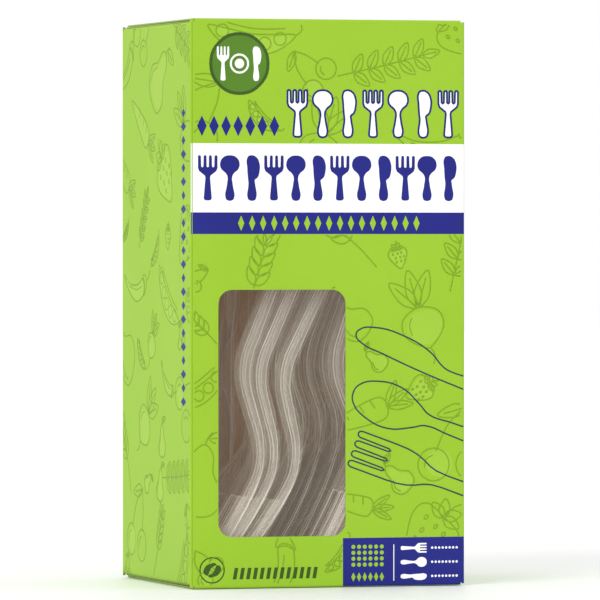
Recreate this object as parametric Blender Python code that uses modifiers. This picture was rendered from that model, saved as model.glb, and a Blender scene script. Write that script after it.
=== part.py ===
"""A pack of clear plastic cutlery: a glued folding carton with a film window, and the forks,
spoons and knives that stand inside it.

Metres, +Z up. The printed front faces -Y and the origin is the middle of the bottom.
"""

from math import cos, radians, sin

import bmesh
import bpy
from mathutils import Matrix, Vector

MM = 0.001
UP = Vector((0, 0, 1))

# The carton
WIDTH = 101 * MM
DEPTH = 91 * MM
HEIGHT = 200 * MM
BOARD = 0.5 * MM
GLUE_GAP = 0.15 * MM  # between two layers of board that are glued together
FOLD_RADIUS = 0.75 * MM  # of the middle of the board
FOLD_STEPS = 3
FLAP_RELIEF = 0.5 * MM  # cut back from each corner, so that the flaps clear each other
FLAP_TAPER = 0.99  # a flap's free edge against its fold
OUTER_FLAP = 89.5 * MM
INNER_FLAP = 88 * MM
DUST_FLAP = 38 * MM
GLUE_SEAM = 14 * MM
GLUE_SEAM_TAPER = 0.9
CORNER_END = 0.6 * MM  # where the upright folds stop, short of the top and the bottom
SEAM_END = 2 * MM  # the same for the fold of the glue seam, which lies inside the back panel
FOLD_EASE = 0.2 * MM  # flat board left between a flap's fold and the rest of its panel

# The window
WINDOW_LEFT = -40.4 * MM
WINDOW_WIDTH = 46.7 * MM
WINDOW_LOW = 18 * MM
WINDOW_HEIGHT = 86.8 * MM
WINDOW_RADIUS = 5 * MM
WINDOW_ARC_STEPS = 5
FILM = 0.2 * MM
FILM_MARGIN = 8 * MM
FILM_GAP = 0.3 * MM

# The cutlery
WALL = 1.1 * MM
FLOOR = 2.2 * MM  # just over the dust flaps
SHOULDER = 0.8  # where a handle's flat top turns down, as a share of its half width

# Each piece lies along +X, its tip at the start, on a line of arcs: (length in mm, turn in degrees)
FORK_START = -12
FORK_BENDS = ((15, 4), (27, 0), (17.5, 47), (11.5, 0), (18, -39), (86, 0))
SPOON_START = -8
SPOON_BENDS = ((49, 0), (17, 47), (7, 0), (18, -39), (79, 0))
KNIFE_START = 0
KNIFE_BENDS = ((188, 0),)

# Sections from the tip to the end of the handle, in mm:
# (distance, half width, depth of the dish, depth of the turned-down sides, sideways shift)
FORK_SECTIONS = (
    (0, 10.4, 1.2, 1.6, 0),
    (5, 11, 1.8, 2.6, 0),
    (15, 11.6, 2.6, 3.4, 0),
    (25, 11.8, 3, 3.8, 0),
    (34, 11.8, 3, 3.7, 0),
    (40, 11, 2.6, 3.4, 0),
    (45, 9.4, 1.9, 3, 0),
    (50, 7.2, 1, 2.8, 0),
    (55, 5.6, 0.4, 2.8, 0),
    (60, 4.7, 0, 3, 0),
    (66, 4.4, 0, 3.2, 0),
    (73, 4.4, 0, 3.4, 0),
    (79, 4.6, 0, 3.6, 0),
    (85, 4.9, 0, 3.7, 0),
    (91, 5.2, 0, 3.7, 0),
    (168, 7.4, 0, 2.3, 0),
    (173, 6.9, 0, 2.2, 0),
    (175.3, 5.6, 0, 2.1, 0),
)
SPOON_SECTIONS = (
    (0, 5, 0.6, 0, 0),
    (2.5, 9, 1.9, 0, 0),
    (7, 13.2, 3.8, 0, 0),
    (14, 16.2, 6, 0, 0),
    (23, 17.4, 7.2, 0, 0),
    (32, 16.7, 6.8, 0, 0),
    (40, 14.6, 5.2, 0, 0),
    (47, 10.8, 3, 0.2, 0),
    (53, 7.2, 1.2, 1.2, 0),
    (58, 5.3, 0.3, 2.2, 0),
    (63, 4.6, 0, 2.9, 0),
    (70, 4.4, 0, 3, 0),
    (77, 4.6, 0, 3, 0),
    (84, 4.9, 0, 3, 0),
    (91, 5.2, 0, 3, 0),
    (162, 7.4, 0, 3, 0),
    (167, 6.9, 0, 3, 0),
    (169.3, 5.6, 0, 3, 0),
)
KNIFE_SECTIONS = (
    (0, 1.6, 0, 0, 7.2),
    (2.5, 3.8, 0, 0, 5.2),
    (8, 6.1, 0, 0, 3),
    (18, 8.2, 0, 0, 1),
    (34, 9.2, 0, 0, 0),
    (80, 9.2, 0, 0, 0),
    (87, 7.6, 0, 0.8, 0),
    (93, 5.8, 0, 2.2, 0),
    (98, 5.2, 0, 3, 0),
    (180, 7.6, 0, 3, 0),
    (185, 7, 0, 3, 0),
    (187.3, 5.6, 0, 3, 0),
)
HANDLE_END = 0.7 * MM  # how far the turned-down end stands past the last section

# Lines along a piece, as shares of its half width; the fork's tines lie between them
FORK_LINES = (-1, -SHOULDER, -0.64, -0.4, -0.12, 0.12, 0.4, 0.64, SHOULDER, 1)
FORK_GAPS = ((-0.64, -0.4), (-0.12, 0.12), (0.4, 0.64))
TINE_LENGTH = 34 * MM
SPOON_LINES = (-1, -SHOULDER, -0.4, 0, 0.4, SHOULDER, 1)
KNIFE_LINES = (-1, -SHOULDER, SHOULDER, 1)

# How each row stands in the carton: y of its middle, then (x of the tip, lean in degrees) for each piece
FORK_ROW = -31.6 * MM
FORKS = ((-48.5, 22), (-45, 24), (-38.4, 26), (-8.5, 17.6), (-1, 16.3), (6, 15), (13, 13.7), (20, 12.4))
SPOON_ROW = 0.3 * MM
SPOONS = tuple((-45 + 7.2 * i, 24 - i) for i in range(8))
KNIFE_ROW = 31 * MM
KNIVES = ((-28, 0), (-22.5, 0), (-17, 0.5), (12, 1), (17.5, 1.5), (23, 2), (28.5, 2.5), (34, 3))


def linear(channel):
    """One sRGB channel of 0 to 255 as linear light."""
    share = channel / 255
    return share / 12.92 if share <= 0.04045 else ((share + 0.055) / 1.055) ** 2.4


def material(name, srgb, roughness, alpha=1.0):
    made = bpy.data.materials.new(name)
    made.use_nodes = True
    shader = made.node_tree.nodes["Principled BSDF"]
    colour = (*(linear(channel) for channel in srgb), 1)
    made.diffuse_color = (*colour[:3], alpha)
    shader.inputs["Base Color"].default_value = colour
    shader.inputs["Roughness"].default_value = roughness
    shader.inputs["Alpha"].default_value = alpha
    return made


def collection(name):
    made = bpy.data.collections.new(name)
    bpy.context.scene.collection.children.link(made)
    return made


def place(name, mesh, group, finish=None):
    thing = bpy.data.objects.new(name, mesh)
    group.objects.link(thing)
    if finish:
        mesh.materials.append(finish)
    return thing


def mesh_from(bm, name):
    mesh = bpy.data.meshes.new(name)
    bm.to_mesh(mesh)
    bm.free()
    return mesh


def solidify(thing, thickness, offset):
    wall = thing.modifiers.new("Wall", "SOLIDIFY")
    wall.thickness = thickness
    wall.offset = offset
    wall.use_even_offset = True


# The carton: one sheet of board, folded


def wall(bm, middle, across, span, low, high, last_end=CORNER_END):
    """One upright panel, notched where its corners meet the flaps; returns its four outer edges."""
    out = across.cross(UP)
    columns = (span[0], span[0] + FLAP_RELIEF, span[1] - FLAP_RELIEF, span[1])
    rows = (low, low + FOLD_EASE, high - FOLD_EASE, high)
    ends = {0: CORNER_END, 3: last_end}
    grid = bmesh.ops.create_grid(bm, x_segments=3, y_segments=3, size=0.5)["verts"]
    corner = {}
    for vert in grid:
        i, j = (round((part + 0.5) * 3) for part in vert.co.xy)
        height = rows[j]
        if i in ends and j in (1, 2):
            height = ends[i] if j == 1 else HEIGHT - ends[i]
        vert.co = out * middle + across * columns[i] + UP * height
        corner[i, j] = vert
    bmesh.ops.delete(bm, geom=[corner[i, j] for i in (0, 3) for j in (0, 3)], context="VERTS")
    named = {
        "left": ((0, 1), (0, 2)),
        "right": ((3, 1), (3, 2)),
        "top": ((1, 3), (2, 3)),
        "bottom": ((1, 0), (2, 0)),
    }
    return {name: bm.edges.get([corner[end] for end in ends]) for name, ends in named.items()}


def fold(bm, edge, centre, axis, angle):
    """Carries an edge of the sheet round a fold and returns the edge that it ends on."""
    turned = bmesh.ops.spin(bm, geom=[edge], cent=centre, axis=axis, angle=angle, steps=FOLD_STEPS)
    return next(item for item in turned["geom_last"] if isinstance(item, bmesh.types.BMEdge))


def pull(bm, edge, move, taper):
    """Draws a flap out from an edge, with a free edge that is taper times as long."""
    grown = bmesh.ops.extrude_edge_only(bm, edges=[edge])["geom"]
    ends = [item for item in grown if isinstance(item, bmesh.types.BMVert)]
    middle = (ends[0].co + ends[1].co) / 2
    for end in ends:
        end.co = middle + (end.co - middle) * taper + move


def flaps(bm, edges, middle, across, layer, length):
    """A panel's top and bottom flaps; layer 0 is the outermost."""
    out = across.cross(UP)
    inside = out * (middle - FOLD_RADIUS)
    for side, turn in (("top", -90), ("bottom", 90)):
        level = UP * edges[side].verts[0].co.z
        free = fold(bm, edges[side], inside + level, across, radians(turn))
        pull(bm, free, out * -length, FLAP_TAPER)


def levels(layer):
    """Where a panel's bottom and top folds begin when its flaps lie in this layer."""
    start = BOARD / 2 + layer * (BOARD + GLUE_GAP) + FOLD_RADIUS
    return start, HEIGHT - start


def window_cutter(group):
    bm = bmesh.new()
    size = Vector((WINDOW_WIDTH, 6 * MM, WINDOW_HEIGHT))
    centre = Vector((WINDOW_LEFT + WINDOW_WIDTH / 2, -DEPTH / 2, WINDOW_LOW + WINDOW_HEIGHT / 2))
    bmesh.ops.create_cube(bm, size=1, matrix=Matrix.LocRotScale(centre, None, size))
    corners = [edge for edge in bm.edges if abs((edge.verts[0].co - edge.verts[1].co).y) > MM]
    bmesh.ops.bevel(
        bm, geom=corners, offset=WINDOW_RADIUS, segments=WINDOW_ARC_STEPS, profile=0.5, affect="EDGES"
    )
    cutter = place("window_cutter", mesh_from(bm, "window_cutter"), group)
    cutter.hide_render = True
    cutter.display_type = "WIRE"
    return cutter


def carton(group, cutters, finish):
    bm = bmesh.new()
    half_width = (WIDTH - BOARD) / 2
    half_depth = (DEPTH - BOARD) / 2
    arc_x = half_width - FOLD_RADIUS
    arc_y = half_depth - FOLD_RADIUS
    seam_y = half_depth - BOARD - GLUE_GAP - FOLD_RADIUS  # the glue seam lies inside the back panel
    east, north = Vector((1, 0, 0)), Vector((0, 1, 0))
    front = wall(bm, half_depth, east, (-arc_x, arc_x), *levels(0))
    right = wall(bm, half_width, north, (-arc_y, seam_y), *levels(2), SEAM_END)
    back = wall(bm, half_depth, -east, (-WIDTH / 2, arc_x), *levels(1))
    left = wall(bm, half_width, -north, (-arc_y, arc_y), *levels(2))
    quarter = radians(90)
    fold(bm, front["right"], Vector((arc_x, -arc_y, 0)), UP, quarter)
    fold(bm, back["right"], Vector((-arc_x, arc_y, 0)), UP, quarter)
    fold(bm, left["right"], Vector((-arc_x, -arc_y, 0)), UP, quarter)
    seam = fold(bm, right["right"], Vector((arc_x, seam_y, 0)), UP, quarter)
    pull(bm, seam, east * -GLUE_SEAM, GLUE_SEAM_TAPER)
    flaps(bm, front, half_depth, east, 0, OUTER_FLAP)
    flaps(bm, back, half_depth, -east, 1, INNER_FLAP)
    flaps(bm, left, half_width, -north, 2, DUST_FLAP)
    flaps(bm, right, half_width, north, 2, DUST_FLAP)
    bmesh.ops.remove_doubles(bm, verts=bm.verts, dist=0.01 * MM)
    bmesh.ops.recalc_face_normals(bm, faces=bm.faces)
    face = min(bm.faces, key=lambda item: item.calc_center_median().y - item.calc_area())
    if face.normal.y > 0:
        bmesh.ops.reverse_faces(bm, faces=bm.faces)
    thing = place("carton", mesh_from(bm, "carton"), group, finish)
    solidify(thing, BOARD, 0)
    window = thing.modifiers.new("Window", "BOOLEAN")
    window.operation = "DIFFERENCE"
    window.solver = "EXACT"
    window.object = window_cutter(cutters)


def window_film(group, finish):
    bm = bmesh.new()
    size = Vector((WINDOW_WIDTH + 2 * FILM_MARGIN, FILM, WINDOW_HEIGHT + 2 * FILM_MARGIN))
    y = -DEPTH / 2 + BOARD + FILM_GAP + FILM / 2
    centre = Vector((WINDOW_LEFT + WINDOW_WIDTH / 2, y, WINDOW_LOW + WINDOW_HEIGHT / 2))
    bmesh.ops.create_cube(bm, size=1, matrix=Matrix.LocRotScale(centre, None, size))
    place("window_film", mesh_from(bm, "window_film"), group, finish)


# The cutlery: a thin dished and channelled shell along a bent line


def along(start, bends, distance):
    """The point and the direction at a distance in mm along a line of arcs."""
    x = z = 0.0
    angle = radians(start)
    for length, turn in bends:
        run = min(distance, length)
        bend = radians(turn) * run / length
        chord = run * (sin(bend / 2) / (bend / 2) if bend else 1)
        x += chord * cos(angle + bend / 2)
        z += chord * sin(angle + bend / 2)
        angle += bend
        distance -= run
        if distance <= 0:
            break
    return x, z, angle


def section_point(share, section, start, bends, drop):
    distance, half, dish, sides, shift = section
    x, z, angle = along(start, bends, distance)
    turned_down = sides if abs(share) == 1 or drop else 0
    depth = dish * (1 - share * share) + turned_down
    return Vector((x + depth * sin(angle), shift + half * share, z - depth * cos(angle))) * MM


def cutlery_mesh(name, start, bends, sections, lines, gaps=(), gap_length=0):
    """The upper surface of one piece: a grid with a row for each section and a column for each line."""
    last = len(sections)
    across = len(lines) - 1
    bm = bmesh.new()
    grid = bmesh.ops.create_grid(bm, x_segments=last, y_segments=across, size=0.5)["verts"]
    slots = set()
    place_of = {}
    for vert in grid:
        i = round((vert.co.x + 0.5) * last)
        j = round((vert.co.y + 0.5) * across)
        place_of[vert] = (i, j)
        vert.co = section_point(lines[j], sections[min(i, last - 1)], start, bends, i == last)
        if i == last:
            vert.co.x += HANDLE_END
    for face in bm.faces:
        rows, columns = zip(*(place_of[vert] for vert in face.verts))
        between = (lines[min(columns)], lines[max(columns)])
        if between in gaps and sections[min(rows)][0] * MM < gap_length:
            slots.add(face)
    bmesh.ops.delete(bm, geom=list(slots), context="FACES")
    flat = radians(0.5)
    bmesh.ops.dissolve_limit(bm, angle_limit=flat, verts=bm.verts, edges=bm.edges, delimit=set())
    return mesh_from(bm, name)


def stand(kind, mesh, row, places, group, finish):
    """One object for each piece, leaning with its tip on the carton's bottom."""
    for number, (tip, lean) in enumerate(places, start=1):
        turn = Matrix.Rotation(radians(lean - 90), 4, "Y")
        skins = [point for vert in mesh.vertices for point in (vert.co, vert.co - vert.normal * WALL)]
        lowest = min((turn @ point).z for point in skins)
        thing = place(f"{kind}_{number}", mesh.copy(), group)
        thing.data.materials.append(finish)
        thing.matrix_world = Matrix.Translation((tip * MM, row, FLOOR - lowest)) @ turn
        solidify(thing, WALL, -1)
    bpy.data.meshes.remove(mesh)


def main():
    for thing in list(bpy.data.objects):
        bpy.data.objects.remove(thing)
    pack = collection("cutlery_pack")
    cutters = collection("cutters")
    board = material("printed carton board", (162, 206, 57), 0.45)
    film = material("clear window film", (235, 238, 236), 0.08, 0.25)
    plastic = material("clear polystyrene", (222, 226, 220), 0.1, 0.5)
    carton(pack, cutters, board)
    window_film(pack, film)
    fork = cutlery_mesh(
        "fork", FORK_START, FORK_BENDS, FORK_SECTIONS, FORK_LINES, FORK_GAPS, TINE_LENGTH
    )
    spoon = cutlery_mesh("spoon", SPOON_START, SPOON_BENDS, SPOON_SECTIONS, SPOON_LINES)
    knife = cutlery_mesh("knife", KNIFE_START, KNIFE_BENDS, KNIFE_SECTIONS, KNIFE_LINES)
    stand("fork", fork, FORK_ROW, FORKS, pack, plastic)
    stand("spoon", spoon, SPOON_ROW, SPOONS, pack, plastic)
    stand("knife", knife, KNIFE_ROW, KNIVES, pack, plastic)


main()
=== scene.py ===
"""The looks of a pack of clear plastic cutlery: a printed and varnished carton with a film window,
and the forks, spoons and knives that stand in it. Metres, +Z up, the printed front faces -Y."""

import random
from math import ceil, cos, hypot, pi, radians, sin

import bmesh
import bpy
from mathutils import Matrix, Vector


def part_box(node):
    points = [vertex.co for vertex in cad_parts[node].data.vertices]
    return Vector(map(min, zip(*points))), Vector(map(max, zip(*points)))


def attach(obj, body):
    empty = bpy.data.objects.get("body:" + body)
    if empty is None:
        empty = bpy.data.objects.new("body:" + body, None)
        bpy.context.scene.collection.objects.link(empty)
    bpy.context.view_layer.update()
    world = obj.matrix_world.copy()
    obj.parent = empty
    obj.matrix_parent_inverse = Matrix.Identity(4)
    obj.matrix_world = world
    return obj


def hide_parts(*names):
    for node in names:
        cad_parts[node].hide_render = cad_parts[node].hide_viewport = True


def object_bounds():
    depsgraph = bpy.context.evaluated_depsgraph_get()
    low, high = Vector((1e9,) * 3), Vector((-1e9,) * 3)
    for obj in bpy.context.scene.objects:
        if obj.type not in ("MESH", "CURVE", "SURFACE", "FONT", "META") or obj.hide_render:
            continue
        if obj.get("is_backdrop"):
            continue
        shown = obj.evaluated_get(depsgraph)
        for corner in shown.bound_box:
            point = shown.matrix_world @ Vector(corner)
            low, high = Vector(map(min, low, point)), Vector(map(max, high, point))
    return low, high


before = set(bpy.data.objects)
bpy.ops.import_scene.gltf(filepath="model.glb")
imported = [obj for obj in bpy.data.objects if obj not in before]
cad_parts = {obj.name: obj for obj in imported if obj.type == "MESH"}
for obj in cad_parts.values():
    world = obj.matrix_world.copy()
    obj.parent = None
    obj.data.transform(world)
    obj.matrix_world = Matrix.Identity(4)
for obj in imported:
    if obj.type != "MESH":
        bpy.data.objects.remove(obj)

CAD_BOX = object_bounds()
LOW, HIGH = CAD_BOX
MM = 0.001
SAME = 0.01 * MM  # points nearer than this are one point
UP = Vector((0, 0, 1))
EAST = Vector((1, 0, 0))
NORTH = Vector((0, 1, 0))

# The carton's sheet
WIDTH, DEPTH, HEIGHT = HIGH - LOW
BOARD = 0.5 * MM
GLUE_GAP = 0.15 * MM  # between two layers of board that are glued together
FOLD_RADIUS = 0.75 * MM
FOLD_STEPS = 5
FLAP_RELIEF = 0.5 * MM  # cut back from each corner, so that the flaps clear each other
FLAP_TAPER = 0.99  # a flap's free edge against its fold
OUTER_FLAP = 89.5 * MM
INNER_FLAP = 88 * MM
DUST_FLAP = 38 * MM
GLUE_SEAM = 14 * MM
GLUE_SEAM_TAPER = 0.9
CORNER_END = 0.6 * MM  # where the upright folds stop, short of the top and the bottom
SEAM_END = 2 * MM  # the same for the fold of the glue seam, which lies inside the back panel
FOLD_EASE = 0.2 * MM  # flat board left between a flap's fold and the rest of its panel
SHEET_SMOOTH = 35  # degrees

# The sheet's materials, in the order of its slots
GREEN, KRAFT, WHITE, BLUE, EDGE = range(5)

# The front's fields of colour, in mm from its bottom left corner
BAND_TOP = 156.2
BAND_LOW = 132
STRIP_LOW = 124.4
BLOCK_TOP = 17.2
BLOCK_LEFT = 55.8

# The window, from the film that lies behind it
FILM_MARGIN = 8 * MM
FILM_LOW, FILM_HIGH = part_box("window_film")
WINDOW_RADIUS = 5 * MM
DIE_DEPTH = 6 * MM

# The cutlery
WALL = 1.1 * MM
RIM_ROUND = 0.3 * MM
RIM_ANGLE = 50  # degrees, the sharpest edge that isn't rounded
PIECE_SMOOTH = 40  # degrees
FLOOR = LOW.z + 2.2 * MM  # just over the dust flaps
SHOULDER = 0.8  # where a handle's flat top turns down, as a share of its half width
ROW_SPACING = 2.2  # mm between cross sections

# Each piece lies along +X, its tip at the start, on a line of arcs: (length in mm, turn in degrees)
FORK_START = -12
FORK_BENDS = ((15, 4), (27, 0), (17.5, 47), (11.5, 0), (18, -39), (86, 0))
SPOON_START = -8
SPOON_BENDS = ((49, 0), (17, 47), (7, 0), (18, -39), (79, 0))
KNIFE_START = 0
KNIFE_BENDS = ((188, 0),)

# Sections from the tip to the end of the handle, in mm:
# (distance, half width, depth of the dish, depth of the turned-down sides, sideways shift)
FORK_SECTIONS = (
    (0, 10.4, 1.2, 1.6, 0),
    (5, 11, 1.8, 2.6, 0),
    (15, 11.6, 2.6, 3.4, 0),
    (25, 11.8, 3, 3.8, 0),
    (34, 11.8, 3, 3.7, 0),
    (40, 11, 2.6, 3.4, 0),
    (45, 9.4, 1.9, 3, 0),
    (50, 7.2, 1, 2.8, 0),
    (55, 5.6, 0.4, 2.8, 0),
    (60, 4.7, 0, 3, 0),
    (66, 4.4, 0, 3.2, 0),
    (73, 4.4, 0, 3.4, 0),
    (79, 4.6, 0, 3.6, 0),
    (85, 4.9, 0, 3.7, 0),
    (91, 5.2, 0, 3.7, 0),
    (168, 7.4, 0, 2.3, 0),
    (173, 6.9, 0, 2.2, 0),
    (175.3, 5.6, 0, 2.1, 0),
)
SPOON_SECTIONS = (
    (0, 5, 0.6, 0, 0),
    (2.5, 9, 1.9, 0, 0),
    (7, 13.2, 3.8, 0, 0),
    (14, 16.2, 6, 0, 0),
    (23, 17.4, 7.2, 0, 0),
    (32, 16.7, 6.8, 0, 0),
    (40, 14.6, 5.2, 0, 0),
    (47, 10.8, 3, 0.2, 0),
    (53, 7.2, 1.2, 1.2, 0),
    (58, 5.3, 0.3, 2.2, 0),
    (63, 4.6, 0, 2.9, 0),
    (70, 4.4, 0, 3, 0),
    (77, 4.6, 0, 3, 0),
    (84, 4.9, 0, 3, 0),
    (91, 5.2, 0, 3, 0),
    (162, 7.4, 0, 3, 0),
    (167, 6.9, 0, 3, 0),
    (169.3, 5.6, 0, 3, 0),
)
KNIFE_SECTIONS = (
    (0, 1.6, 0, 0, 7.2),
    (2.5, 3.8, 0, 0, 5.2),
    (8, 6.1, 0, 0, 3),
    (18, 8.2, 0, 0, 1),
    (34, 9.2, 0, 0, 0),
    (80, 9.2, 0, 0, 0),
    (87, 7.6, 0, 0.8, 0),
    (93, 5.8, 0, 2.2, 0),
    (98, 5.2, 0, 3, 0),
    (180, 7.6, 0, 3, 0),
    (185, 7, 0, 3, 0),
    (187.3, 5.6, 0, 3, 0),
)
HANDLE_END = 0.7  # how far the turned-down end stands past the last section

# Lines along a piece, as shares of its half width; the fork's tines lie between some of them
FORK_LINES = (-1, -SHOULDER, -0.64, -0.4, -0.26, -0.12, 0.12, 0.26, 0.4, 0.64, SHOULDER, 1)
TINES = ((-1, -0.64), (-0.4, -0.12), (0.12, 0.4), (0.64, 1))
TINE_LENGTH = 34
SPOON_LINES = (-1, -0.93, -SHOULDER, -0.55, -0.28, 0, 0.28, 0.55, SHOULDER, 0.93, 1)
KNIFE_LINES = (-1, -SHOULDER, -0.3, 0.3, SHOULDER, 1)

# How each row stands in the carton: y of its middle, then (x of the tip, lean in degrees) for each piece
FORK_ROW = -31.6 * MM
FORKS = ((-48.5, 22), (-45, 24), (-38.4, 26), (-8.5, 17.6), (-1, 16.3), (6, 15), (13, 13.7), (20, 12.4))
SPOON_ROW = 0.3 * MM
SPOONS = tuple((-45 + 7.2 * i, 24 - i) for i in range(8))
KNIFE_ROW = 31 * MM
KNIVES = ((-28, 0), (-22.5, 0), (-17, 0.5), (12, 1), (17.5, 1.5), (23, 2), (28.5, 2.5), (34, 3))


# Materials


def linear(code):
    """A hex sRGB colour as linear light."""
    shares = [int(code[i : i + 2], 16) / 255 for i in (0, 2, 4)]
    return (*(s / 12.92 if s <= 0.04045 else ((s + 0.055) / 1.055) ** 2.4 for s in shares), 1)


def add(tree, kind, inputs=None, **settings):
    """Adds one node; an input is a value or the socket that feeds it."""
    made = tree.nodes.new(kind)
    for name, value in settings.items():
        setattr(made, name, value)
    for name, value in (inputs or {}).items():
        if isinstance(value, bpy.types.NodeSocket):
            tree.links.new(value, made.inputs[name])
        else:
            made.inputs[name].default_value = value
    return made


def blank(name, **sockets):
    """A material with the given values on its Principled shader."""
    made = bpy.data.materials.new(name)
    made.use_nodes = True
    tree = made.node_tree
    shader = tree.nodes["Principled BSDF"]
    for socket, value in sockets.items():
        shader.inputs[socket.replace("_", " ")].default_value = value
    return made, tree, shader


def ramp(tree, factor, low, high, start=0.0, end=1.0):
    """A colour that runs from low to high as the factor goes from start to end."""
    made = add(tree, "ShaderNodeValToRGB", {"Fac": factor})
    for element, place, colour in zip(made.color_ramp.elements, (start, end), (low, high)):
        element.position = place
        element.color = linear(colour)
    return made.outputs["Color"]


def noise(tree, size, detail, upright=1, **inputs):
    """Cloudy noise with features of this size; drawn out along Z where upright is under 1."""
    place = add(tree, "ShaderNodeTexCoord").outputs["Object"]
    drawn_out = add(tree, "ShaderNodeMapping", {"Vector": place, "Scale": (1, 1, upright)})
    inputs = {"Vector": drawn_out.outputs["Vector"], "Scale": 1 / size, "Detail": detail, **inputs}
    return add(tree, "ShaderNodeTexNoise", inputs).outputs["Fac"]


def between(tree, factor, low, high):
    """A number that runs from low to high with the factor."""
    made = add(tree, "ShaderNodeMapRange", {"Value": factor, "To Min": low, "To Max": high})
    return made.outputs["Result"]


def bumped(tree, shader, height, strength, distance):
    """Lets the height lift the shader's surface by up to the distance."""
    made = add(tree, "ShaderNodeBump", {"Height": height, "Strength": strength, "Distance": distance})
    tree.links.new(made.outputs["Normal"], shader.inputs["Normal"])


def printed(name, dark, light):
    """Offset ink on clay-coated board under a satin water-based varnish: an even colour with a faint
    mottle where the ink took unevenly, and the board's fibres just showing in the gloss."""
    made, tree, shader = blank(name, IOR=1.48, Specular_IOR_Level=0.2)
    colour = ramp(tree, noise(tree, 34 * MM, 1.5), dark, light, 0.42, 0.68)
    mottle = noise(tree, 0.9 * MM, 3)
    shade = between(tree, mottle, 0.975, 1.025)
    tinted = add(tree, "ShaderNodeVectorMath", {0: colour, "Scale": shade}, operation="SCALE")
    tree.links.new(tinted.outputs["Vector"], shader.inputs["Base Color"])
    tree.links.new(between(tree, mottle, 0.45, 0.55), shader.inputs["Roughness"])
    bumped(tree, shader, noise(tree, 0.5 * MM, 4), 0.12, 0.02 * MM)
    return made


def kraft(name):
    """The unprinted inside of the board: brown pulp with long darker and paler fibres, quite matt. A
    faint warm glow is painted on it, light that stands in for what comes through the thin board from
    behind."""
    made, tree, shader = blank(
        name,
        Roughness=0.85,
        Specular_IOR_Level=0.25,
        # The emission is a painted glow that brightens the inside of the carton.
        Emission_Color=linear("D8A468"),
        Emission_Strength=0.02,
    )
    strands = noise(tree, 0.8 * MM, 5, 0.25, Roughness=0.65)
    colour = ramp(tree, strands, "C9965C", "E6BF8C", 0.3, 0.7)
    tree.links.new(colour, shader.inputs["Base Color"])
    bumped(tree, shader, strands, 0.3, 0.05 * MM)
    return made


def cut_board(name):
    """The board's cut edge: pressed pulp in thin layers, darker than the print beside it."""
    made, tree, shader = blank(name, Roughness=0.8)
    colour = ramp(tree, noise(tree, 0.25 * MM, 4), "7C9640", "A3BC5C", 0.3, 0.7)
    tree.links.new(colour, shader.inputs["Base Color"])
    return made


def film(name):
    """Cast polyester film, clear and glossy, stretched a little unevenly, so reflections run in soft
    upright streaks."""
    made, tree, shader = blank(
        name,
        Base_Color=linear("FBF7F0"),
        Roughness=0.05,
        IOR=1.57,
        Transmission_Weight=1.0,
        Alpha=0.3,
    )
    bumped(tree, shader, noise(tree, 9 * MM, 2, 0.2), 0.5, 0.4 * MM)
    return made


def clear_plastic(name, colour, through, solid, painted_glow):
    """Injection moulded crystal polystyrene: water-clear and glossy, greyish where it is seen through
    edgeways, with faint flow lines. It glows faintly, a painted glow that stands in for light carried
    along inside it."""
    made, tree, shader = blank(
        name,
        Base_Color=linear(colour),
        Roughness=0.08,
        # The emission is painted light: a faint glow on a part that is no lamp.
        Emission_Color=linear("E2D8C8"),
        Emission_Strength=painted_glow,
        IOR=1.59,
        Transmission_Weight=through,
        Alpha=solid,
    )
    bumped(tree, shader, noise(tree, 3 * MM, 2), 0.25, 0.15 * MM)
    return made


def sweep_floor(name):
    """A white lacquered studio table, quite matt."""
    made, tree, shader = blank(name, Roughness=0.5)
    colour = ramp(tree, noise(tree, 4 * MM, 3), "F6F6F6", "FAFAFA")
    tree.links.new(colour, shader.inputs["Base Color"])
    return made


# Working by hand


def start(name):
    """The object that was just added, given its name."""
    thing = bpy.context.view_layer.objects.active
    thing.name = name
    thing.data.name = name
    return thing


def only(thing):
    bpy.ops.object.select_all(action="DESELECT")
    thing.select_set(True)
    bpy.context.view_layer.objects.active = thing


def apply_modifier(thing, kind, **settings):
    only(thing)
    made = thing.modifiers.new(kind, kind)
    for name, value in settings.items():
        setattr(made, name, value)
    bpy.ops.object.modifier_apply(modifier=made.name)


def finished(piece, slot):
    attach(piece, "root")


# The carton: one sheet of board, folded, with its flaps glued


def selected_edge(sheet):
    """The ends of the one edge that is selected."""
    edge = next(edge for edge in bmesh.from_edit_mesh(sheet.data).edges if edge.select)
    return tuple(vert.co.copy() for vert in edge.verts)


def select_edge(sheet, ends):
    bpy.ops.mesh.select_all(action="DESELECT")
    bm = bmesh.from_edit_mesh(sheet.data)
    for edge in bm.edges:
        first, second = (vert.co for vert in edge.verts)
        same = (first - ends[0]).length < SAME and (second - ends[1]).length < SAME
        turned = (first - ends[1]).length < SAME and (second - ends[0]).length < SAME
        if same or turned:
            edge.select_set(True)
    bmesh.update_edit_mesh(sheet.data)


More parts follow.
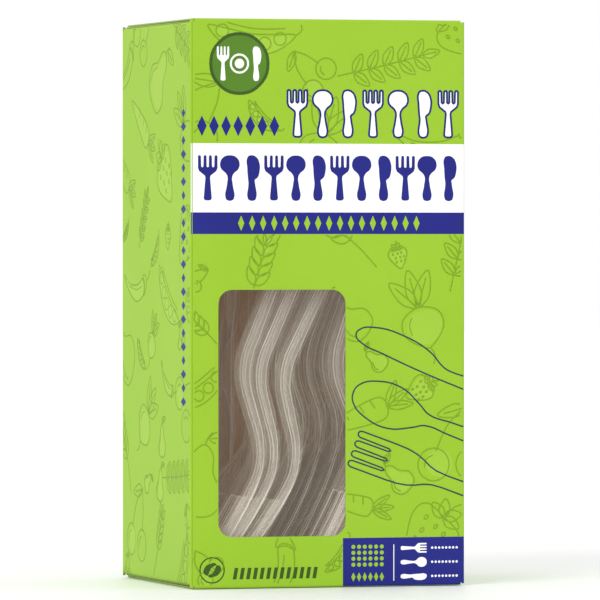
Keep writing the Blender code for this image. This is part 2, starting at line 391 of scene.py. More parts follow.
def panel(sheet, middle, across, span, low, high, last_end=CORNER_END):
    """One upright panel with its corner notches; returns the ends of the edges where it folds."""
    out = across.cross(UP)
    columns = (span[0], span[0] + FLAP_RELIEF, span[1] - FLAP_RELIEF, span[1])
    rows = (low, low + FOLD_EASE, high - FOLD_EASE, high)
    ends = {0: CORNER_END, 3: last_end}
    bpy.ops.mesh.select_all(action="DESELECT")
    bpy.ops.mesh.primitive_grid_add(x_subdivisions=3, y_subdivisions=3, size=1)
    bm = bmesh.from_edit_mesh(sheet.data)
    corner = {}
    for vert in [vert for vert in bm.verts if vert.select]:
        i, j = (round((part + 0.5) * 3) for part in vert.co.xy)
        height = rows[j]
        if i in ends and j in (1, 2):
            height = ends[i] if j == 1 else HEIGHT - ends[i]
        vert.co = out * middle + across * columns[i] + UP * height
        corner[i, j] = vert.co.copy()
    bmesh.update_edit_mesh(sheet.data)
    bpy.ops.mesh.select_all(action="DESELECT")
    bm = bmesh.from_edit_mesh(sheet.data)
    notches = [corner[i, j] for i in (0, 3) for j in (0, 3)]
    for vert in bm.verts:
        vert.select_set(any((vert.co - notch).length < SAME for notch in notches))
    bmesh.update_edit_mesh(sheet.data)
    bpy.ops.mesh.delete(type="VERT")
    named = {
        "left": ((0, 1), (0, 2)),
        "right": ((3, 1), (3, 2)),
        "top": ((1, 3), (2, 3)),
        "bottom": ((1, 0), (2, 0)),
    }
    return {name: tuple(corner[place] for place in pair) for name, pair in named.items()}


def fold(sheet, ends, centre, axis, angle):
    """Carries an edge round a fold and returns the ends of the edge that it becomes."""
    select_edge(sheet, ends)
    bpy.ops.mesh.spin(steps=FOLD_STEPS, angle=-angle, center=centre, axis=axis)
    return selected_edge(sheet)


def pull(sheet, ends, move, taper):
    """Draws a flap out from an edge."""
    select_edge(sheet, ends)
    bpy.ops.mesh.extrude_region_move(TRANSFORM_OT_translate={"value": move})
    middle = (ends[0] + ends[1]) / 2 + move
    bpy.ops.transform.resize(value=(taper,) * 3, center_override=middle)


def flaps(sheet, folds, middle, across, length):
    out = across.cross(UP)
    inside = out * (middle - FOLD_RADIUS)
    for side, turn in (("top", -90), ("bottom", 90)):
        level = UP * folds[side][0].z
        free = fold(sheet, folds[side], inside + level, across, radians(turn))
        pull(sheet, free, out * -length, FLAP_TAPER)


def levels(layer):
    """Where a panel's bottom and top folds begin when its flaps lie in this layer."""
    begin = BOARD / 2 + layer * (BOARD + GLUE_GAP) + FOLD_RADIUS
    return begin, HEIGHT - begin


def cut_window(sheet, finishes):
    """Dies out the window with rounded corners; the cut shows the board's edge."""
    width = FILM_HIGH.x - FILM_LOW.x - 2 * FILM_MARGIN
    height = FILM_HIGH.z - FILM_LOW.z - 2 * FILM_MARGIN
    middle = Vector(((FILM_LOW.x + FILM_HIGH.x) / 2, LOW.y, (FILM_LOW.z + FILM_HIGH.z) / 2))
    bpy.ops.mesh.primitive_cube_add(size=1, location=middle, scale=(width, DIE_DEPTH, height))
    die = start("window_die")
    bpy.ops.object.transform_apply(location=True, rotation=True, scale=True)
    for finish in finishes:
        die.data.materials.append(finish)
    for face in die.data.polygons:
        face.material_index = EDGE
    bpy.ops.object.mode_set(mode="EDIT")
    bm = bmesh.from_edit_mesh(die.data)
    for edge in bm.edges:
        edge.select_set(abs(edge.verts[0].co.y - edge.verts[1].co.y) > MM)
    bmesh.update_edit_mesh(die.data)
    bpy.ops.mesh.bevel(offset=WINDOW_RADIUS, segments=12, affect="EDGES")
    bpy.ops.object.mode_set(mode="OBJECT")
    apply_modifier(sheet, "BOOLEAN", operation="DIFFERENCE", solver="EXACT", object=die)
    bpy.data.objects.remove(die)


def make_carton(finishes):
    bpy.ops.mesh.primitive_plane_add(size=1)
    sheet = start("folding_carton")
    bpy.ops.object.mode_set(mode="EDIT")
    bpy.ops.mesh.delete(type="VERT")
    half_width = (WIDTH - BOARD) / 2
    half_depth = (DEPTH - BOARD) / 2
    arc_x = half_width - FOLD_RADIUS
    arc_y = half_depth - FOLD_RADIUS
    seam_y = half_depth - BOARD - GLUE_GAP - FOLD_RADIUS
    front = panel(sheet, half_depth, EAST, (-arc_x, arc_x), *levels(0))
    right = panel(sheet, half_width, NORTH, (-arc_y, seam_y), *levels(2), SEAM_END)
    back = panel(sheet, half_depth, -EAST, (-WIDTH / 2, arc_x), *levels(1))
    left = panel(sheet, half_width, -NORTH, (-arc_y, arc_y), *levels(2))
    quarter = radians(90)
    fold(sheet, front["right"], Vector((arc_x, -arc_y, 0)), UP, quarter)
    fold(sheet, back["right"], Vector((-arc_x, arc_y, 0)), UP, quarter)
    fold(sheet, left["right"], Vector((-arc_x, -arc_y, 0)), UP, quarter)
    seam = fold(sheet, right["right"], Vector((arc_x, seam_y, 0)), UP, quarter)
    pull(sheet, seam, EAST * -GLUE_SEAM, GLUE_SEAM_TAPER)
    flaps(sheet, front, half_depth, EAST, OUTER_FLAP)
    flaps(sheet, back, half_depth, -EAST, INNER_FLAP)
    flaps(sheet, left, half_width, -NORTH, DUST_FLAP)
    flaps(sheet, right, half_width, NORTH, DUST_FLAP)
    bpy.ops.mesh.select_all(action="SELECT")
    bpy.ops.mesh.remove_doubles(threshold=SAME)
    for height in (BAND_TOP, BAND_LOW, STRIP_LOW, BLOCK_TOP):
        bpy.ops.mesh.select_all(action="SELECT")
        bpy.ops.mesh.bisect(plane_co=(0, 0, height * MM), plane_no=UP)
    bpy.ops.mesh.select_all(action="SELECT")
    bpy.ops.mesh.bisect(plane_co=(LOW.x + BLOCK_LEFT * MM, 0, 0), plane_no=EAST)
    bpy.ops.mesh.select_all(action="SELECT")
    bpy.ops.mesh.normals_make_consistent(inside=False)
    bpy.ops.object.mode_set(mode="OBJECT")
    face = max((face for face in sheet.data.polygons if face.normal.y ** 2 > 0.99), key=lambda f: f.area)
    if face.normal.y * face.center.y < 0:
        sheet.data.flip_normals()
    for finish in finishes:
        sheet.data.materials.append(finish)
    apply_modifier(
        sheet,
        "SOLIDIFY",
        thickness=BOARD,
        offset=0,
        use_even_offset=True,
        material_offset=KRAFT,
        material_offset_rim=EDGE,
    )
    cut_window(sheet, finishes)
    colour_front(sheet)
    only(sheet)
    bpy.ops.object.shade_smooth_by_angle(angle=radians(SHEET_SMOOTH))
    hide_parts("carton")
    finished(sheet, "carton_board")


def colour_front(sheet):
    """Gives the front's printed faces their field's ink; the fields run to the middle of the folds."""
    for face in sheet.data.polygons:
        if face.material_index != GREEN or face.normal.y > -0.6:
            continue
        x, z = (face.center.x - LOW.x) / MM, (face.center.z - LOW.z) / MM
        if BAND_LOW < z < BAND_TOP:
            face.material_index = WHITE
        elif STRIP_LOW < z < BAND_LOW or (z < BLOCK_TOP and x > BLOCK_LEFT):
            face.material_index = BLUE


# Print on the panels. A mark is drawn in mm from its panel's bottom left corner, as (points, closed,
# smooth); it stands as proud as a thick screen ink.

INK = 0.02 * MM
PRINT_MARGIN = 1.2  # mm left free along the folds
SIDES = {
    "front": (Vector((LOW.x, LOW.y, 0)), EAST),
    "right": (Vector((HIGH.x, LOW.y, 0)), NORTH),
    "back": (Vector((HIGH.x, HIGH.y, 0)), -EAST),
    "left": (Vector((LOW.x, HIGH.y, 0)), -NORTH),
}
BUTT = ((0.03, 0), (0.058, 0.015), (0.07, 0.05))
FORK_HALF = (
    *BUTT,
    (0.05, 0.35),
    (0.04, 0.5),
    (0.05, 0.55),
    (0.1, 0.6),
    (0.15, 0.65),
    (0.17, 0.72),
    (0.17, 0.98),
    (0.155, 1),
    (0.135, 1),
    (0.12, 0.98),
    (0.115, 0.75),
    (0.095, 0.73),
    (0.075, 0.75),
    (0.07, 0.98),
    (0.055, 1),
    (0.035, 1),
    (0.022, 0.98),
    (0.02, 0.75),
    (0, 0.73),
)
SPOON_HALF = (
    (0.035, 0),
    (0.07, 0.04),
    (0.05, 0.35),
    (0.04, 0.52),
    (0.07, 0.6),
    (0.15, 0.7),
    (0.17, 0.82),
    (0.12, 0.95),
    (0, 1),
)
KNIFE_ROUND = (
    (0.035, 0),
    (0.07, 0.04),
    (0.055, 0.38),
    (0.05, 0.45),
    (0.1, 0.51),
    (0.13, 0.62),
    (0.13, 0.84),
    (0.07, 0.97),
    (-0.03, 1),
    (-0.075, 0.96),
    (-0.08, 0.7),
    (-0.07, 0.5),
    (-0.06, 0.38),
    (-0.07, 0.04),
    (-0.035, 0),
)


def mirrored(half):
    """A whole outline from its right half, up one side and down the other."""
    return (*half, *((-x, y) for x, y in reversed(half) if x))


FIGURES = (
    (mirrored(FORK_HALF), True, False),
    (mirrored(SPOON_HALF), True, True),
    (KNIFE_ROUND, True, True),
)


def placed(stroke, u, v, size=1, turn=0, stretch=1):
    """A stroke enlarged, turned and moved to its place."""
    points, closed, smooth = stroke
    c, s = cos(radians(turn)) * size, sin(radians(turn)) * size
    moved = tuple((u + c * x * stretch - s * y, v + s * x * stretch + c * y) for x, y in points)
    return moved, closed, smooth


def disc(u, v, radius, flat=1):
    corners = (2 * pi * k / 8 for k in range(8))
    return tuple((u + radius * cos(a), v + radius * flat * sin(a)) for a in corners), True, True


def lozenge(u, v, width, height):
    points = ((u - width / 2, v), (u, v - height / 2), (u + width / 2, v), (u, v + height / 2))
    return points, True, False


def bar(u, v, width, height, slant=0):
    """An upright bar, or one whose top is shifted sideways."""
    foot, top = v - height / 2, v + height / 2
    points = (
        (u - width / 2, foot),
        (u + width / 2, foot),
        (u + width / 2 + slant, top),
        (u - width / 2 + slant, top),
    )
    return points, True, False


def spread(count, low, high):
    """The middles of so many equal places between two ends."""
    return [low + (high - low) * (i + 0.5) / count for i in range(count)]


def drawn(name, strokes):
    """The strokes as a flat curve."""
    data = bpy.data.curves.new(name, "CURVE")
    data.dimensions = "2D"
    for points, closed, smooth in strokes:
        spline = data.splines.new("BEZIER")
        spline.bezier_points.add(len(points) - 1)
        for knot, (u, v) in zip(spline.bezier_points, points):
            knot.co = (u * MM, v * MM, 0)
            knot.handle_left_type = knot.handle_right_type = "AUTO" if smooth else "VECTOR"
        spline.use_cyclic_u = closed
        spline.resolution_u = 5 if smooth else 1
    return data


def lay(name, data, side, lift, finish, slot, flat=1):
    """Makes the drawing a mesh and lays it on its side of the carton."""
    piece = bpy.data.objects.new(name, data)
    bpy.context.scene.collection.objects.link(piece)
    only(piece)
    bpy.ops.object.convert(target="MESH")
    piece = start(name)
    bpy.ops.object.mode_set(mode="EDIT")
    bpy.ops.mesh.select_all(action="SELECT")
    bpy.ops.mesh.remove_doubles(threshold=0.002 * MM)
    bpy.ops.mesh.normals_make_consistent(inside=False)
    bpy.ops.object.mode_set(mode="OBJECT")
    corner, across = SIDES[side]
    out = across.cross(UP)
    turned = Matrix((across, UP, out)).transposed().to_4x4()
    piece.data.transform(
        Matrix.Translation(corner + out * lift) @ turned @ Matrix.Diagonal((1, 1, flat, 1))
    )
    piece.data.materials.clear()
    piece.data.materials.append(finish)
    finished(piece, slot)


def fields(name, strokes, side, finish, slot, layer=1):
    """Filled marks; a stroke inside another is left open."""
    data = drawn(name, strokes)
    data.fill_mode = "BOTH"
    data.extrude = INK / 2
    lay(name, data, side, INK * (layer + 0.5), finish, slot)


def lines(name, strokes, width, side, finish, slot, layer=1):
    """Drawn lines."""
    data = drawn(name, strokes)
    data.fill_mode = "NONE"
    data.bevel_depth = width / 2 * MM
    data.bevel_resolution = 0
    data.use_fill_caps = True
    lay(name, data, side, INK * (layer + 0.5), finish, slot, INK / (width * MM))


# Kitchen garden motifs, each about 2 across and drawn round its middle, the body's outline first


def curve(*points):
    return points, False, True


def shape(*points):
    return points, True, True


def leaf(u, v, length, turn, wide=0.24):
    """A pointed leaf with its midrib."""
    sides = shape((0, 0), (0.35, wide), (0.75, wide * 0.7), (1, 0), (0.75, -wide * 0.7), (0.35, -wide))
    rib = curve((0.08, 0), (0.8, 0))
    return [placed(stroke, u, v, length, turn) for stroke in (sides, rib)]


def pea_pod():
    top = ((1, 0.2), (0.55, 0.16), (0, 0.1), (-0.55, 0.14))
    pod = shape((-1, 0.15), (-0.6, -0.2), (0, -0.36), (0.6, -0.2), *top)
    peas = [disc(0.33 * i, -0.12 + 0.05 * i * i, 0.14) for i in (-2, -1, 0, 1, 2)]
    stalk = curve((1, 0.2), (1.12, 0.32), (1.1, 0.45))
    return [pod, *peas, stalk, curve((-0.8, 0.3), (0, 0.22), (0.75, 0.32))]


def carrot():
    crown = ((0.35, 0.4), (0.55, 0.2), (0.52, -0.05))
    body = shape((-1, -0.35), (-0.3, 0.12), *crown, (0.1, -0.2), (-0.5, -0.32))
    rings = [curve((x, 0.28 + 0.4 * x), (x + 0.12, 0.1 + 0.4 * x)) for x in (-0.45, -0.1, 0.15)]
    tops = [leaf(0.55, 0.2, 0.6, turn, 0.16) for turn in (5, 38, 70)]
    return [body, *rings, *sum(tops, [])]


def pear():
    right = ((0.22, 0.5), (0.3, 0.1), (0.58, -0.3), (0.45, -0.75))
    body = shape((0, 0.7), *right, (0, -0.88), *((-x, y) for x, y in reversed(right)))
    shine = curve((-0.38, -0.6), (-0.42, -0.32), (-0.24, 0))
    return [body, shine, curve((0, 0.68), (0.03, 0.85), (0.12, 1)), *leaf(0.06, 0.84, 0.55, 15)]


def cherries():
    left = disc(-0.45, -0.5, 0.36)
    right = disc(0.42, -0.42, 0.36)
    stalks = [
        curve((-0.42, -0.2), (-0.2, 0.4), (0.2, 0.85)),
        curve((0.4, -0.1), (0.36, 0.4), (0.2, 0.85)),
    ]
    shines = [
        curve((x - 0.2, y - 0.08), (x - 0.18, y + 0.1), (x - 0.04, y + 0.2))
        for x, y in ((-0.45, -0.5), (0.42, -0.42))
    ]
    return [left, right, *stalks, *shines, *leaf(0.2, 0.82, 0.7, 200, 0.2)]


def wheat():
    grains = [
        leaf(0.02 * side, -0.15 + 0.22 * i, 0.42, 90 - 34 * side, 0.22)[0]
        for i in range(5)
        for side in (-1, 1)
    ]
    return [leaf(0, 0.75, 0.4, 90)[0], *grains, curve((-0.12, -1), (-0.03, -0.5), (0, -0.12))]


def radish():
    right = ((0.42, 0.02), (0.45, -0.35), (0.1, -0.68))
    body = shape((0, 0.2), *right, *((-x, y) for x, y in reversed(right)))
    root = curve((0.02, -0.7), (0.08, -0.9), (0, -1.08))
    tops = [leaf(0, 0.2, 0.85, turn, 0.2) for turn in (58, 90, 125)]
    return [body, root, curve((-0.3, -0.35), (-0.3, -0.12), (-0.2, 0.02)), *sum(tops, [])]


def chilli():
    upper = ((-0.45, -0.3), (0.1, -0.02), (0.42, 0.3), (0.6, 0.22))
    body = shape((-1, -0.35), *upper, (0.62, 0), (0.2, -0.4), (-0.4, -0.5))
    cap = shape((0.38, 0.34), (0.6, 0.44), (0.74, 0.3), (0.66, -0.02), (0.56, 0.2))
    stalk = curve((0.68, 0.36), (0.82, 0.52), (0.84, 0.72))
    return [body, cap, stalk, curve((-0.5, -0.38), (0.05, -0.18), (0.4, 0.08))]


def strawberry():
    right = ((0.5, 0.36), (0.6, 0), (0.3, -0.55))
    body = shape((0, 0.4), *right, (0, -0.85), *((-x, y) for x, y in reversed(right)))
    places = [(x, y) for x in (-0.3, 0, 0.25) for y in (0.12, -0.15, -0.4)]
    seeds = [disc(x + 0.12 * (y < -0.1), y, 0.035, 1.6) for x, y in places]
    crown = [leaf(0, 0.38, 0.42, turn, 0.3)[0] for turn in (10, 55, 125, 170)]
    return [body, *seeds, *crown, curve((0, 0.4), (0.02, 0.7), (0.12, 0.9))]


def sprig():
    leaves = [
        leaf(-0.7 + 0.32 * i, -0.35 + 0.16 * i, 0.45, 27 + 52 * side)
        for i in range(5)
        for side in (-1, 1)
    ]
    return [*leaf(0.75, 0.38, 0.4, 27), *sum(leaves, []), curve((-1.05, -0.5), (0, 0), (0.78, 0.4))]


# Radii of the places for motifs, in mm
MOTIF_SIZES = (17, 14, 11, 8, 6)
LARGE_MOTIF = 9  # a place bigger than this takes a large motif
MOTIF_TRIES = 260
MOTIF_CROWDING = 0.86  # how close two places may come, as a share of their radii
TONAL_LINE = 0.42  # mm
LARGE_MOTIFS = (pea_pod, carrot, pear, wheat, cherries, radish, chilli, sprig, strawberry)
SMALL_MOTIFS = (cherries, strawberry, pear, pea_pod)
TRACE_STEP = 0.8  # mm


def traced(stroke):
    """A smooth stroke as short straight steps."""
    points, closed, _ = stroke
    count = len(points)
    for i in range(count if closed else count - 1):
        near = [i + k for k in (-1, 0, 1, 2)]
        four = [points[k % count] if closed else points[min(max(k, 0), count - 1)] for k in near]
        steps = max(2, ceil(hypot(four[2][0] - four[1][0], four[2][1] - four[1][1]) / TRACE_STEP))
        for step in range(steps):
            t = step / steps
            yield tuple(
                b + t * (c - a + t * (2 * a - 5 * b + 4 * c - d + t * (3 * b - a - 3 * c + d))) / 2
                for a, b, c, d in zip(*four)
            )
    yield points[0] if closed else points[-1]


def hidden(point, width, blocked):
    """True off the panel's edge, or under another field of the print."""
    u, v = point
    if not (PRINT_MARGIN < u < width - PRINT_MARGIN and PRINT_MARGIN < v < HEIGHT / MM - PRINT_MARGIN):
        return True
    return any(left < u < right and low < v < high for left, low, right, high in blocked)


def seen_parts(stroke, width, blocked):
    """What shows of a stroke, as open runs of points."""
    run = []
    for point in (*traced(stroke), None):
        if point is None or hidden(point, width, blocked):
            if len(run) > 2:
                yield tuple(run), False, False
            run = []
        else:
            run.append(point)


def motif_places(width, blocked, seed):
    """Round places for motifs, big ones first, clear of each other; they may run off an edge."""
    chance = random.Random(seed)
    found = []
    for radius in MOTIF_SIZES:
        for _ in range(MOTIF_TRIES):
            u = chance.uniform(0, width)
            v = chance.uniform(0, HEIGHT / MM)
            turn = chance.uniform(-60, 60)
            touches = any(hypot(u - a, v - b) < MOTIF_CROWDING * (radius + c) for a, b, c, _ in found)
            if not touches and not hidden((u, v), width, blocked):
                found.append((u, v, radius, turn))
    return found


def tonal_pattern(side, width, blocked, seed, ink, light):
    """Tone on tone line drawings all over a side, their bodies a shade lighter than the ground."""
    strokes = []
    bodies = []
    for number, (u, v, radius, turn) in enumerate(motif_places(width, blocked, seed)):
        choice = LARGE_MOTIFS if radius > LARGE_MOTIF else SMALL_MOTIFS
        motif = choice[(number + seed) % len(choice)]()
        for stroke in motif:
            strokes += seen_parts(placed(stroke, u, v, radius * 0.95, turn), width, blocked)
        body = placed(motif[0], u + 0.05 * radius, v - 0.04 * radius, radius * 0.8, turn)
        if not any(hidden(point, width, blocked) for point in traced(body)):
            bodies.append(body)
    fields(f"tonal_lights_{side}", bodies, side, light, "print_green", 0)
    lines(f"tonal_drawings_{side}", strokes, TONAL_LINE, side, ink, "print_green", 1)


def figure_row(count, left, right, foot, height, stretch):
    """A row of upright forks, spoons and knives by turns."""
    places = enumerate(spread(count, left, right))
    return [placed(FIGURES[i % 3], u, foot, height, 0, stretch) for i, u in places]


# Large outlined cutlery that comes in over the front's right edge: (from the tip, off the axis)
LARGE_TILT = -20
LARGE_TIP = 59.6
LARGE_KNIFE = (
    (52, 2.4),
    (37.5, 2.2),
    (35, 2.6),
    (28, 6.2),
    (17, 8.2),
    (6, 7.4),
    (0.6, 4.6),
    (0.2, 2.4),
    (3, 0.6),
    (12, -0.4),
    (28, -1.6),
    (52, -2.4),
)
LARGE_SPOON_HALF = ((52, 2.6), (38, 2.2), (29, 2.1), (24.5, 4.4), (16.5, 7.6), (7.5, 6.9), (1.2, 3.4))
LARGE_FORK_HALF = (
    (52, 2.4),
    (36, 2.3),
    (31.8, 2.6),
    (29, 3.4),
    (26, 4.8),
    (23, 5.8),
    (19.5, 6.4),
    (15, 6.6),
    (1.2, 6.6),
    (0.3, 6.2),
    (0, 5.5),
    (0.3, 4.7),
    (1.2, 4.3),
    (12.6, 4.1),
    (13.4, 3.6),
    (12.6, 3.1),
    (1.2, 3),
    (0.3, 2.6),
    (0, 1.9),
    (0.3, 1.1),
    (1.2, 0.7),
    (12.6, 0.5),
    (13.4, 0),
)


def large_figure(points, v, smooth):
    """An open outline, its handle cut at the right edge of the panel."""
    points, _, _ = placed((points, False, smooth), LARGE_TIP, v, 1, LARGE_TILT)
    edge = (WIDTH / MM) - 0.6
    ends = []
    for (far_u, far_v), (near_u, near_v) in ((points[0], points[1]), (points[-1], points[-2])):
        share = (edge - near_u) / (far_u - near_u)
        ends.append((edge, near_v + share * (far_v - near_v)))
    return (ends[0], *points[1:-1], ends[1]), False, smooth


def large_cutlery():
    fork = (*LARGE_FORK_HALF, *((x, -y) for x, y in reversed(LARGE_FORK_HALF[:-1])))
    spoon = (*LARGE_SPOON_HALF, (0, 0), *((x, -y) for x, y in reversed(LARGE_SPOON_HALF)))
    knife = large_figure(LARGE_KNIFE, 86.5, True)
    return [knife, large_figure(spoon, 68.5, True), large_figure(fork, 49, False)]


def print_badge(inks):
    """A disc with a fork, a plate and a knife."""
    u, v = 17.8, 184.2
    fields("badge_disc", [disc(u, v, 11)], "front", inks["dark"], "print_green")
    fields("badge_field", [disc(u, v, 9.9)], "front", inks["leaf"], "print_green", 2)
    plate = [disc(u, v, radius) for radius in (3.5, 2.8, 1.7)]
    fork = placed(FIGURES[0], 11.8, 178.2, 12, 0, 1.1)
    knife = placed(FIGURES[2], 23.9, 178.2, 12, 0, 1.1)
    fields("badge_figures", [fork, knife, *plate], "front", inks["white"], "print_white", 3)


def print_title(inks):
    """Rows of figures and lozenges across the top, the white band and the blue strip."""
    title = figure_row(7, 34.4, 99.4, 158.6, 16.4, 1.3)
    fields("title_figures", title, "front", inks["white"], "print_white", 1)
    lines("title_outlines", title, 0.7, "front", inks["blue"], "print_blue", 2)
    row = [lozenge(u, 162.3, 3.5, 7.2) for u in spread(7, 1.9, 32.8)]
    fields("title_lozenges", row, "front", inks["blue"], "print_blue")
    band = figure_row(12, 2.2, 99, 136.2, 15.8, 1.32)
    fields("band_figures", band, "front", inks["blue"], "print_blue")
    strip = [lozenge(u, 128.2, 2.3, 5.4) for u in spread(17, 16.4, 85)]
    fields("strip_lozenges", strip, "front", inks["green"], "print_green")


def print_count(inks):
    """The block at the bottom right: a field of dots, and a row of dots for each kind of piece."""
    columns = spread(6, 58.6, 71.2)
    count = [disc(u, v, 0.72) for u in columns for v in spread(4, 6.7, 15.1)]
    count += [lozenge(u, 3.4, 1.6, 3.2) for u in columns]
    fields("count_dots", count, "front", inks["green"], "print_green")
    rows = [bar(74.6, 8.3, 0.3, 12.8)]
    for figure, v in zip(FIGURES, reversed(spread(3, 0.9, 15.9))):
        rows.append(placed(figure, 77.2, v, 9.6, -90, 1.05))
        rows += [disc(u, v, 0.42) for u in spread(8, 88.2, 98.6)]
    fields("count_rows", rows, "front", inks["white"], "print_white")


def print_corner(inks):
    """The ring with two leaves and the slanted bars at the bottom left, and a darker line down the
    front's left fold, which is painted shade in the crease.
    """
    dark = inks["dark"]
    # A bar of deeper ink along the fold: painted shade, not print.
    fields("front_fold_painted_shade", [bar(0.55, 100, 0.3, 198)], "front", inks["line"], "print_green", 0)
    leaves = [leaf(4.9, 5.2, 5.6, 40, 0.3)[0], leaf(10.8, 7.8, 5.6, 220, 0.3)[0]]
    fields("recycling_leaves", leaves, "front", dark, "print_green")
    lines("recycling_ring", [disc(7.8, 6.5, 4.4)], 0.45, "front", dark, "print_green")
    dashes = [bar(u, 5.2, 1.3, 4, 0.7) for u in spread(13, 14.8, 46.4)]
    fields("recycling_dashes", dashes, "front", dark, "print_green")


def print_front(inks):
    print_badge(inks)
    print_title(inks)
    lines("large_cutlery", large_cutlery(), 0.5, "front", inks["slate"], "print_blue", 2)
    print_count(inks)
    print_corner(inks)


# Where the front's tonal pattern is hidden: the window, the bands across the top and the count block
FRONT_BLOCKED = (
    (9.9, 17.8, 57, 105),
    (-5, STRIP_LOW, 110, BAND_TOP),
    (BLOCK_LEFT, -5, 110, BLOCK_TOP),
)


def print_sides(inks):
    """Lozenges up the left side, and the tonal pattern on every side."""
    marks = [lozenge(81.8, v, 6.6 - 2 * (i % 2), 3.2) for i, v in enumerate(spread(22, 63, 169.4))]
    fields("side_lozenges", marks, "left", inks["blue"], "print_blue")
    broad = WIDTH / MM
    deep = DEPTH / MM
    panels = (
        ("front", broad, FRONT_BLOCKED),
        ("left", deep, ()),
        ("right", deep, ()),
        ("back", broad, ()),
    )
    for seed, (side, width, blocked) in enumerate(panels, start=3):
        tonal_pattern(side, width, blocked, seed, inks["line"], inks["light"])


# The cutlery: a thin dished and channelled shell along a bent line


def along(begin, bends, distance):
    """The point and the direction at a distance in mm along a line of arcs."""
    x = z = 0.0
    angle = radians(begin)
    for length, turn in bends:
        run = min(distance, length)
        bend = radians(turn) * run / length
        chord = run * (sin(bend / 2) / (bend / 2) if bend else 1)
        x += chord * cos(angle + bend / 2)
        z += chord * sin(angle + bend / 2)
        angle += bend
        distance -= run
        if distance <= 0:
            break
    return x, z, angle


def smooth_sections(sections):
    """The sections with more between them, on a smooth curve through them."""
    rows = []
    for i in range(len(sections) - 1):
        before, low = sections[max(i - 1, 0)], sections[i]
        high, after = sections[i + 1], sections[min(i + 2, len(sections) - 1)]
        gap = high[0] - low[0]
        steps = max(1, ceil(gap / ROW_SPACING))
        for step in range(steps):
            t = step / steps
            row = [low[0] + gap * t]
            for a, b, c, d in zip(before[1:], low[1:], high[1:], after[1:]):
                slope_low = (c - a) / (high[0] - before[0]) * gap
                slope_high = (d - b) / (after[0] - low[0]) * gap
                value = (2 * t**3 - 3 * t**2 + 1) * b + (t**3 - 2 * t**2 + t) * slope_low
                value += (3 * t**2 - 2 * t**3) * c + (t**3 - t**2) * slope_high
                row.append(value)
            row[3] = max(row[3], 0)
            rows.append(tuple(row))
    return (*rows, sections[-1])


def tine_share(share, distance):
    """A fork's lines draw together into tapered tines towards the tip."""
    for low, high in TINES:
        if low <= share <= high and distance < TINE_LENGTH:
            middle = (low + high) / 2
            taper = 0.6 + 0.4 * distance / TINE_LENGTH
            if distance == 0:
                taper *= 0.6
            return middle + (share - middle) * taper
    return share


def section_point(share, section, begin, bends, turned_down):
    distance, half, dish, sides, shift = section
    x, z, angle = along(begin, bends, distance)
    depth = dish * (1 - share * share) + (sides if turned_down else 0)
    return Vector((x + depth * sin(angle), shift + half * share, z - depth * cos(angle))) * MM


def cutlery(name, begin, bends, sections, lines, tines, finishes):
    """One piece lying along +X, its tip at the start, made from a grid with a row for each section."""
    rows = smooth_sections(sections)
    last, across = len(rows), len(lines) - 1
    bpy.ops.object.select_all(action="DESELECT")
    bpy.ops.mesh.primitive_grid_add(x_subdivisions=last, y_subdivisions=across, size=1)
    thing = start(name)
    bm = bmesh.new()
    bm.from_mesh(thing.data)
    place_of = {}
    for vert in bm.verts:
        i = round((vert.co.x + 0.5) * last)
        j = round((vert.co.y + 0.5) * across)
        place_of[vert] = (i, j)
        row = rows[min(i, last - 1)]
        share = tine_share(lines[j], row[0]) if tines else lines[j]
        turned_down = i == last or abs(lines[j]) == 1
        vert.co = section_point(share, row, begin, bends, turned_down)
        if i == last:
            vert.co.x += HANDLE_END * MM
    gaps = []
    for face in bm.faces:
        i, j = (min(parts) for parts in zip(*(place_of[vert] for vert in face.verts)))
        middle = (lines[j] + lines[j + 1]) / 2
        in_tine = any(low < middle < high for low, high in TINES)
        if tines and not in_tine and rows[i][0] < TINE_LENGTH:
            gaps.append(face)
    bmesh.ops.delete(bm, geom=gaps, context="FACES")
    bm.to_mesh(thing.data)
    bm.free()
    for finish in finishes:
        thing.data.materials.append(finish)
    apply_modifier(thing, "SOLIDIFY", thickness=WALL, offset=-1, use_even_offset=True)
    # The rounded rims take the second finish, near-white, nearly opaque and glowing: a painted highlight
    # along every edge.
    apply_modifier(
        thing,
        "BEVEL",
        width=RIM_ROUND,
        segments=2,
        limit_method="ANGLE",
        angle_limit=radians(RIM_ANGLE),
        material=1,
        use_clamp_overlap=False,
    )
    only(thing)
    bpy.ops.object.shade_smooth_by_angle(angle=radians(PIECE_SMOOTH))
    return thing


def stand(kind, thing, row, places):
    """A copy of the piece for each place in the carton, leaning with its tip on the bottom."""
    for number, (tip, lean) in enumerate(places, start=1):
        turn = Matrix.Rotation(radians(lean - 90), 4, "Y")
        copy = thing.copy()
        copy.data = thing.data.copy()
        copy.name = copy.data.name = f"{kind}_piece_{number}"
        bpy.context.scene.collection.objects.link(copy)
        copy.data.transform(turn)
        lowest = min(vert.co.z for vert in copy.data.vertices)
        copy.data.transform(Matrix.Translation((tip * MM, row, FLOOR - lowest)))
        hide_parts(f"{kind}_{number}")
        finished(copy, "clear_plastic")
    bpy.data.objects.remove(thing)


# The studio

CAMERA_BEARING = 16.75  # degrees to the left of straight in front
CAMERA_DISTANCE = 2.41  # from the carton's near upright edge
CAMERA_HEIGHT = 0.1242
AIM_HEIGHT = 0.1013
EDGE_LEFT_OF_MIDDLE = 0.0383  # how far the near edge stands left of the line of sight
LENS = 413
SENSOR = 36
TABLE_SIZE = 12
TABLE_GAP = 0.2 * MM  # under the carton
LAMP_TILT = 58  # degrees from straight overhead
LAMP_BEARING = -49
LAMP_STRENGTH = 1.1
LAMP_SPREAD = 30  # degrees


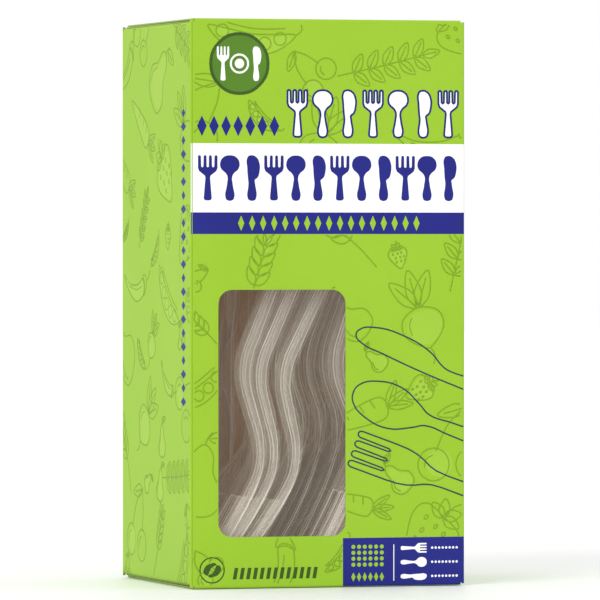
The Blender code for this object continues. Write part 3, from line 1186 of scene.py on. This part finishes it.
def make_camera():
    ahead = Vector((sin(radians(CAMERA_BEARING)), cos(radians(CAMERA_BEARING)), 0))
    right = ahead.cross(UP)
    near_edge = Vector((LOW.x, LOW.y, 0))
    eye = near_edge - ahead * CAMERA_DISTANCE + right * EDGE_LEFT_OF_MIDDLE + UP * CAMERA_HEIGHT
    aim = near_edge + right * EDGE_LEFT_OF_MIDDLE + UP * AIM_HEIGHT
    bpy.ops.object.camera_add(location=eye, rotation=(aim - eye).to_track_quat("-Z", "Y").to_euler())
    camera = bpy.context.object
    camera.name = "camera"
    camera.data.lens = LENS
    camera.data.sensor_width = SENSOR
    camera.data.clip_end = 50
    bpy.context.scene.camera = camera


def make_studio():
    bpy.ops.mesh.primitive_plane_add(size=TABLE_SIZE, location=(0, 0, LOW.z - TABLE_GAP))
    floor = start("studio_table")
    bpy.ops.object.transform_apply(location=True, rotation=True, scale=True)
    floor.data.materials.append(sweep_floor("white lacquered table"))
    floor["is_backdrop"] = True
    world = bpy.data.worlds.new("studio")
    bpy.context.scene.world = world
    world.use_nodes = True
    background = world.node_tree.nodes["Background"]
    background.inputs["Color"].default_value = (1, 1, 1, 1)
    background.inputs["Strength"].default_value = 1.0
    bpy.ops.object.light_add(type="SUN", rotation=(radians(LAMP_TILT), 0, radians(LAMP_BEARING)))
    lamp = bpy.context.object
    lamp.name = "softbox"
    lamp.data.energy = LAMP_STRENGTH
    lamp.data.angle = radians(LAMP_SPREAD)
    bpy.context.scene.view_settings.view_transform = "Standard"


def main():
    make_camera()
    make_studio()
    inks = {
        "green": printed("lime offset ink on clay-coated board", "93BD2C", "96BF30"),
        "line": printed("deeper lime offset ink", "83A925", "86AC28"),
        "light": printed("thin lime offset ink", "9AC13A", "9EC43C"),
        "white": printed("bare clay coat of the board", "F4F4F1", "F8F8F6"),
        "blue": printed("dark blue offset ink on clay-coated board", "1E2279", "222681"),
        "slate": printed("slate blue offset ink over the lime", "233F56", "28445D"),
        "leaf": printed("mid green offset ink", "4F7A22", "588527"),
        "dark": printed("dark green offset ink over the lime", "37551F", "3D5E24"),
    }
    back = kraft("brown kraft back of the board")
    make_carton((inks["green"], back, inks["white"], inks["blue"], cut_board("cut carton board")))
    print_front(inks)
    print_sides(inks)
    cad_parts["window_film"].material_slots[0].material = film("clear polyester film")
    plastic = (
        # The body's emission is a faint painted glow.
        clear_plastic("crystal polystyrene", "D0C8BA", 0.2, 0.42, 0.045),
        # The rims' finish is a painted highlight: near-white, nearly opaque and glowing.
        clear_plastic("crystal polystyrene rims with a painted highlight", "FBF8F0", 0.1, 0.9, 0.1),
    )
    fork = cutlery("fork", FORK_START, FORK_BENDS, FORK_SECTIONS, FORK_LINES, True, plastic)
    spoon = cutlery("spoon", SPOON_START, SPOON_BENDS, SPOON_SECTIONS, SPOON_LINES, False, plastic)
    knife = cutlery("knife", KNIFE_START, KNIFE_BENDS, KNIFE_SECTIONS, KNIFE_LINES, False, plastic)
    stand("fork", fork, FORK_ROW, FORKS)
    stand("spoon", spoon, SPOON_ROW, SPOONS)
    stand("knife", knife, KNIFE_ROW, KNIVES)


main()
sizes = [[list(corner) for corner in box] for box in (CAD_BOX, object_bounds())]
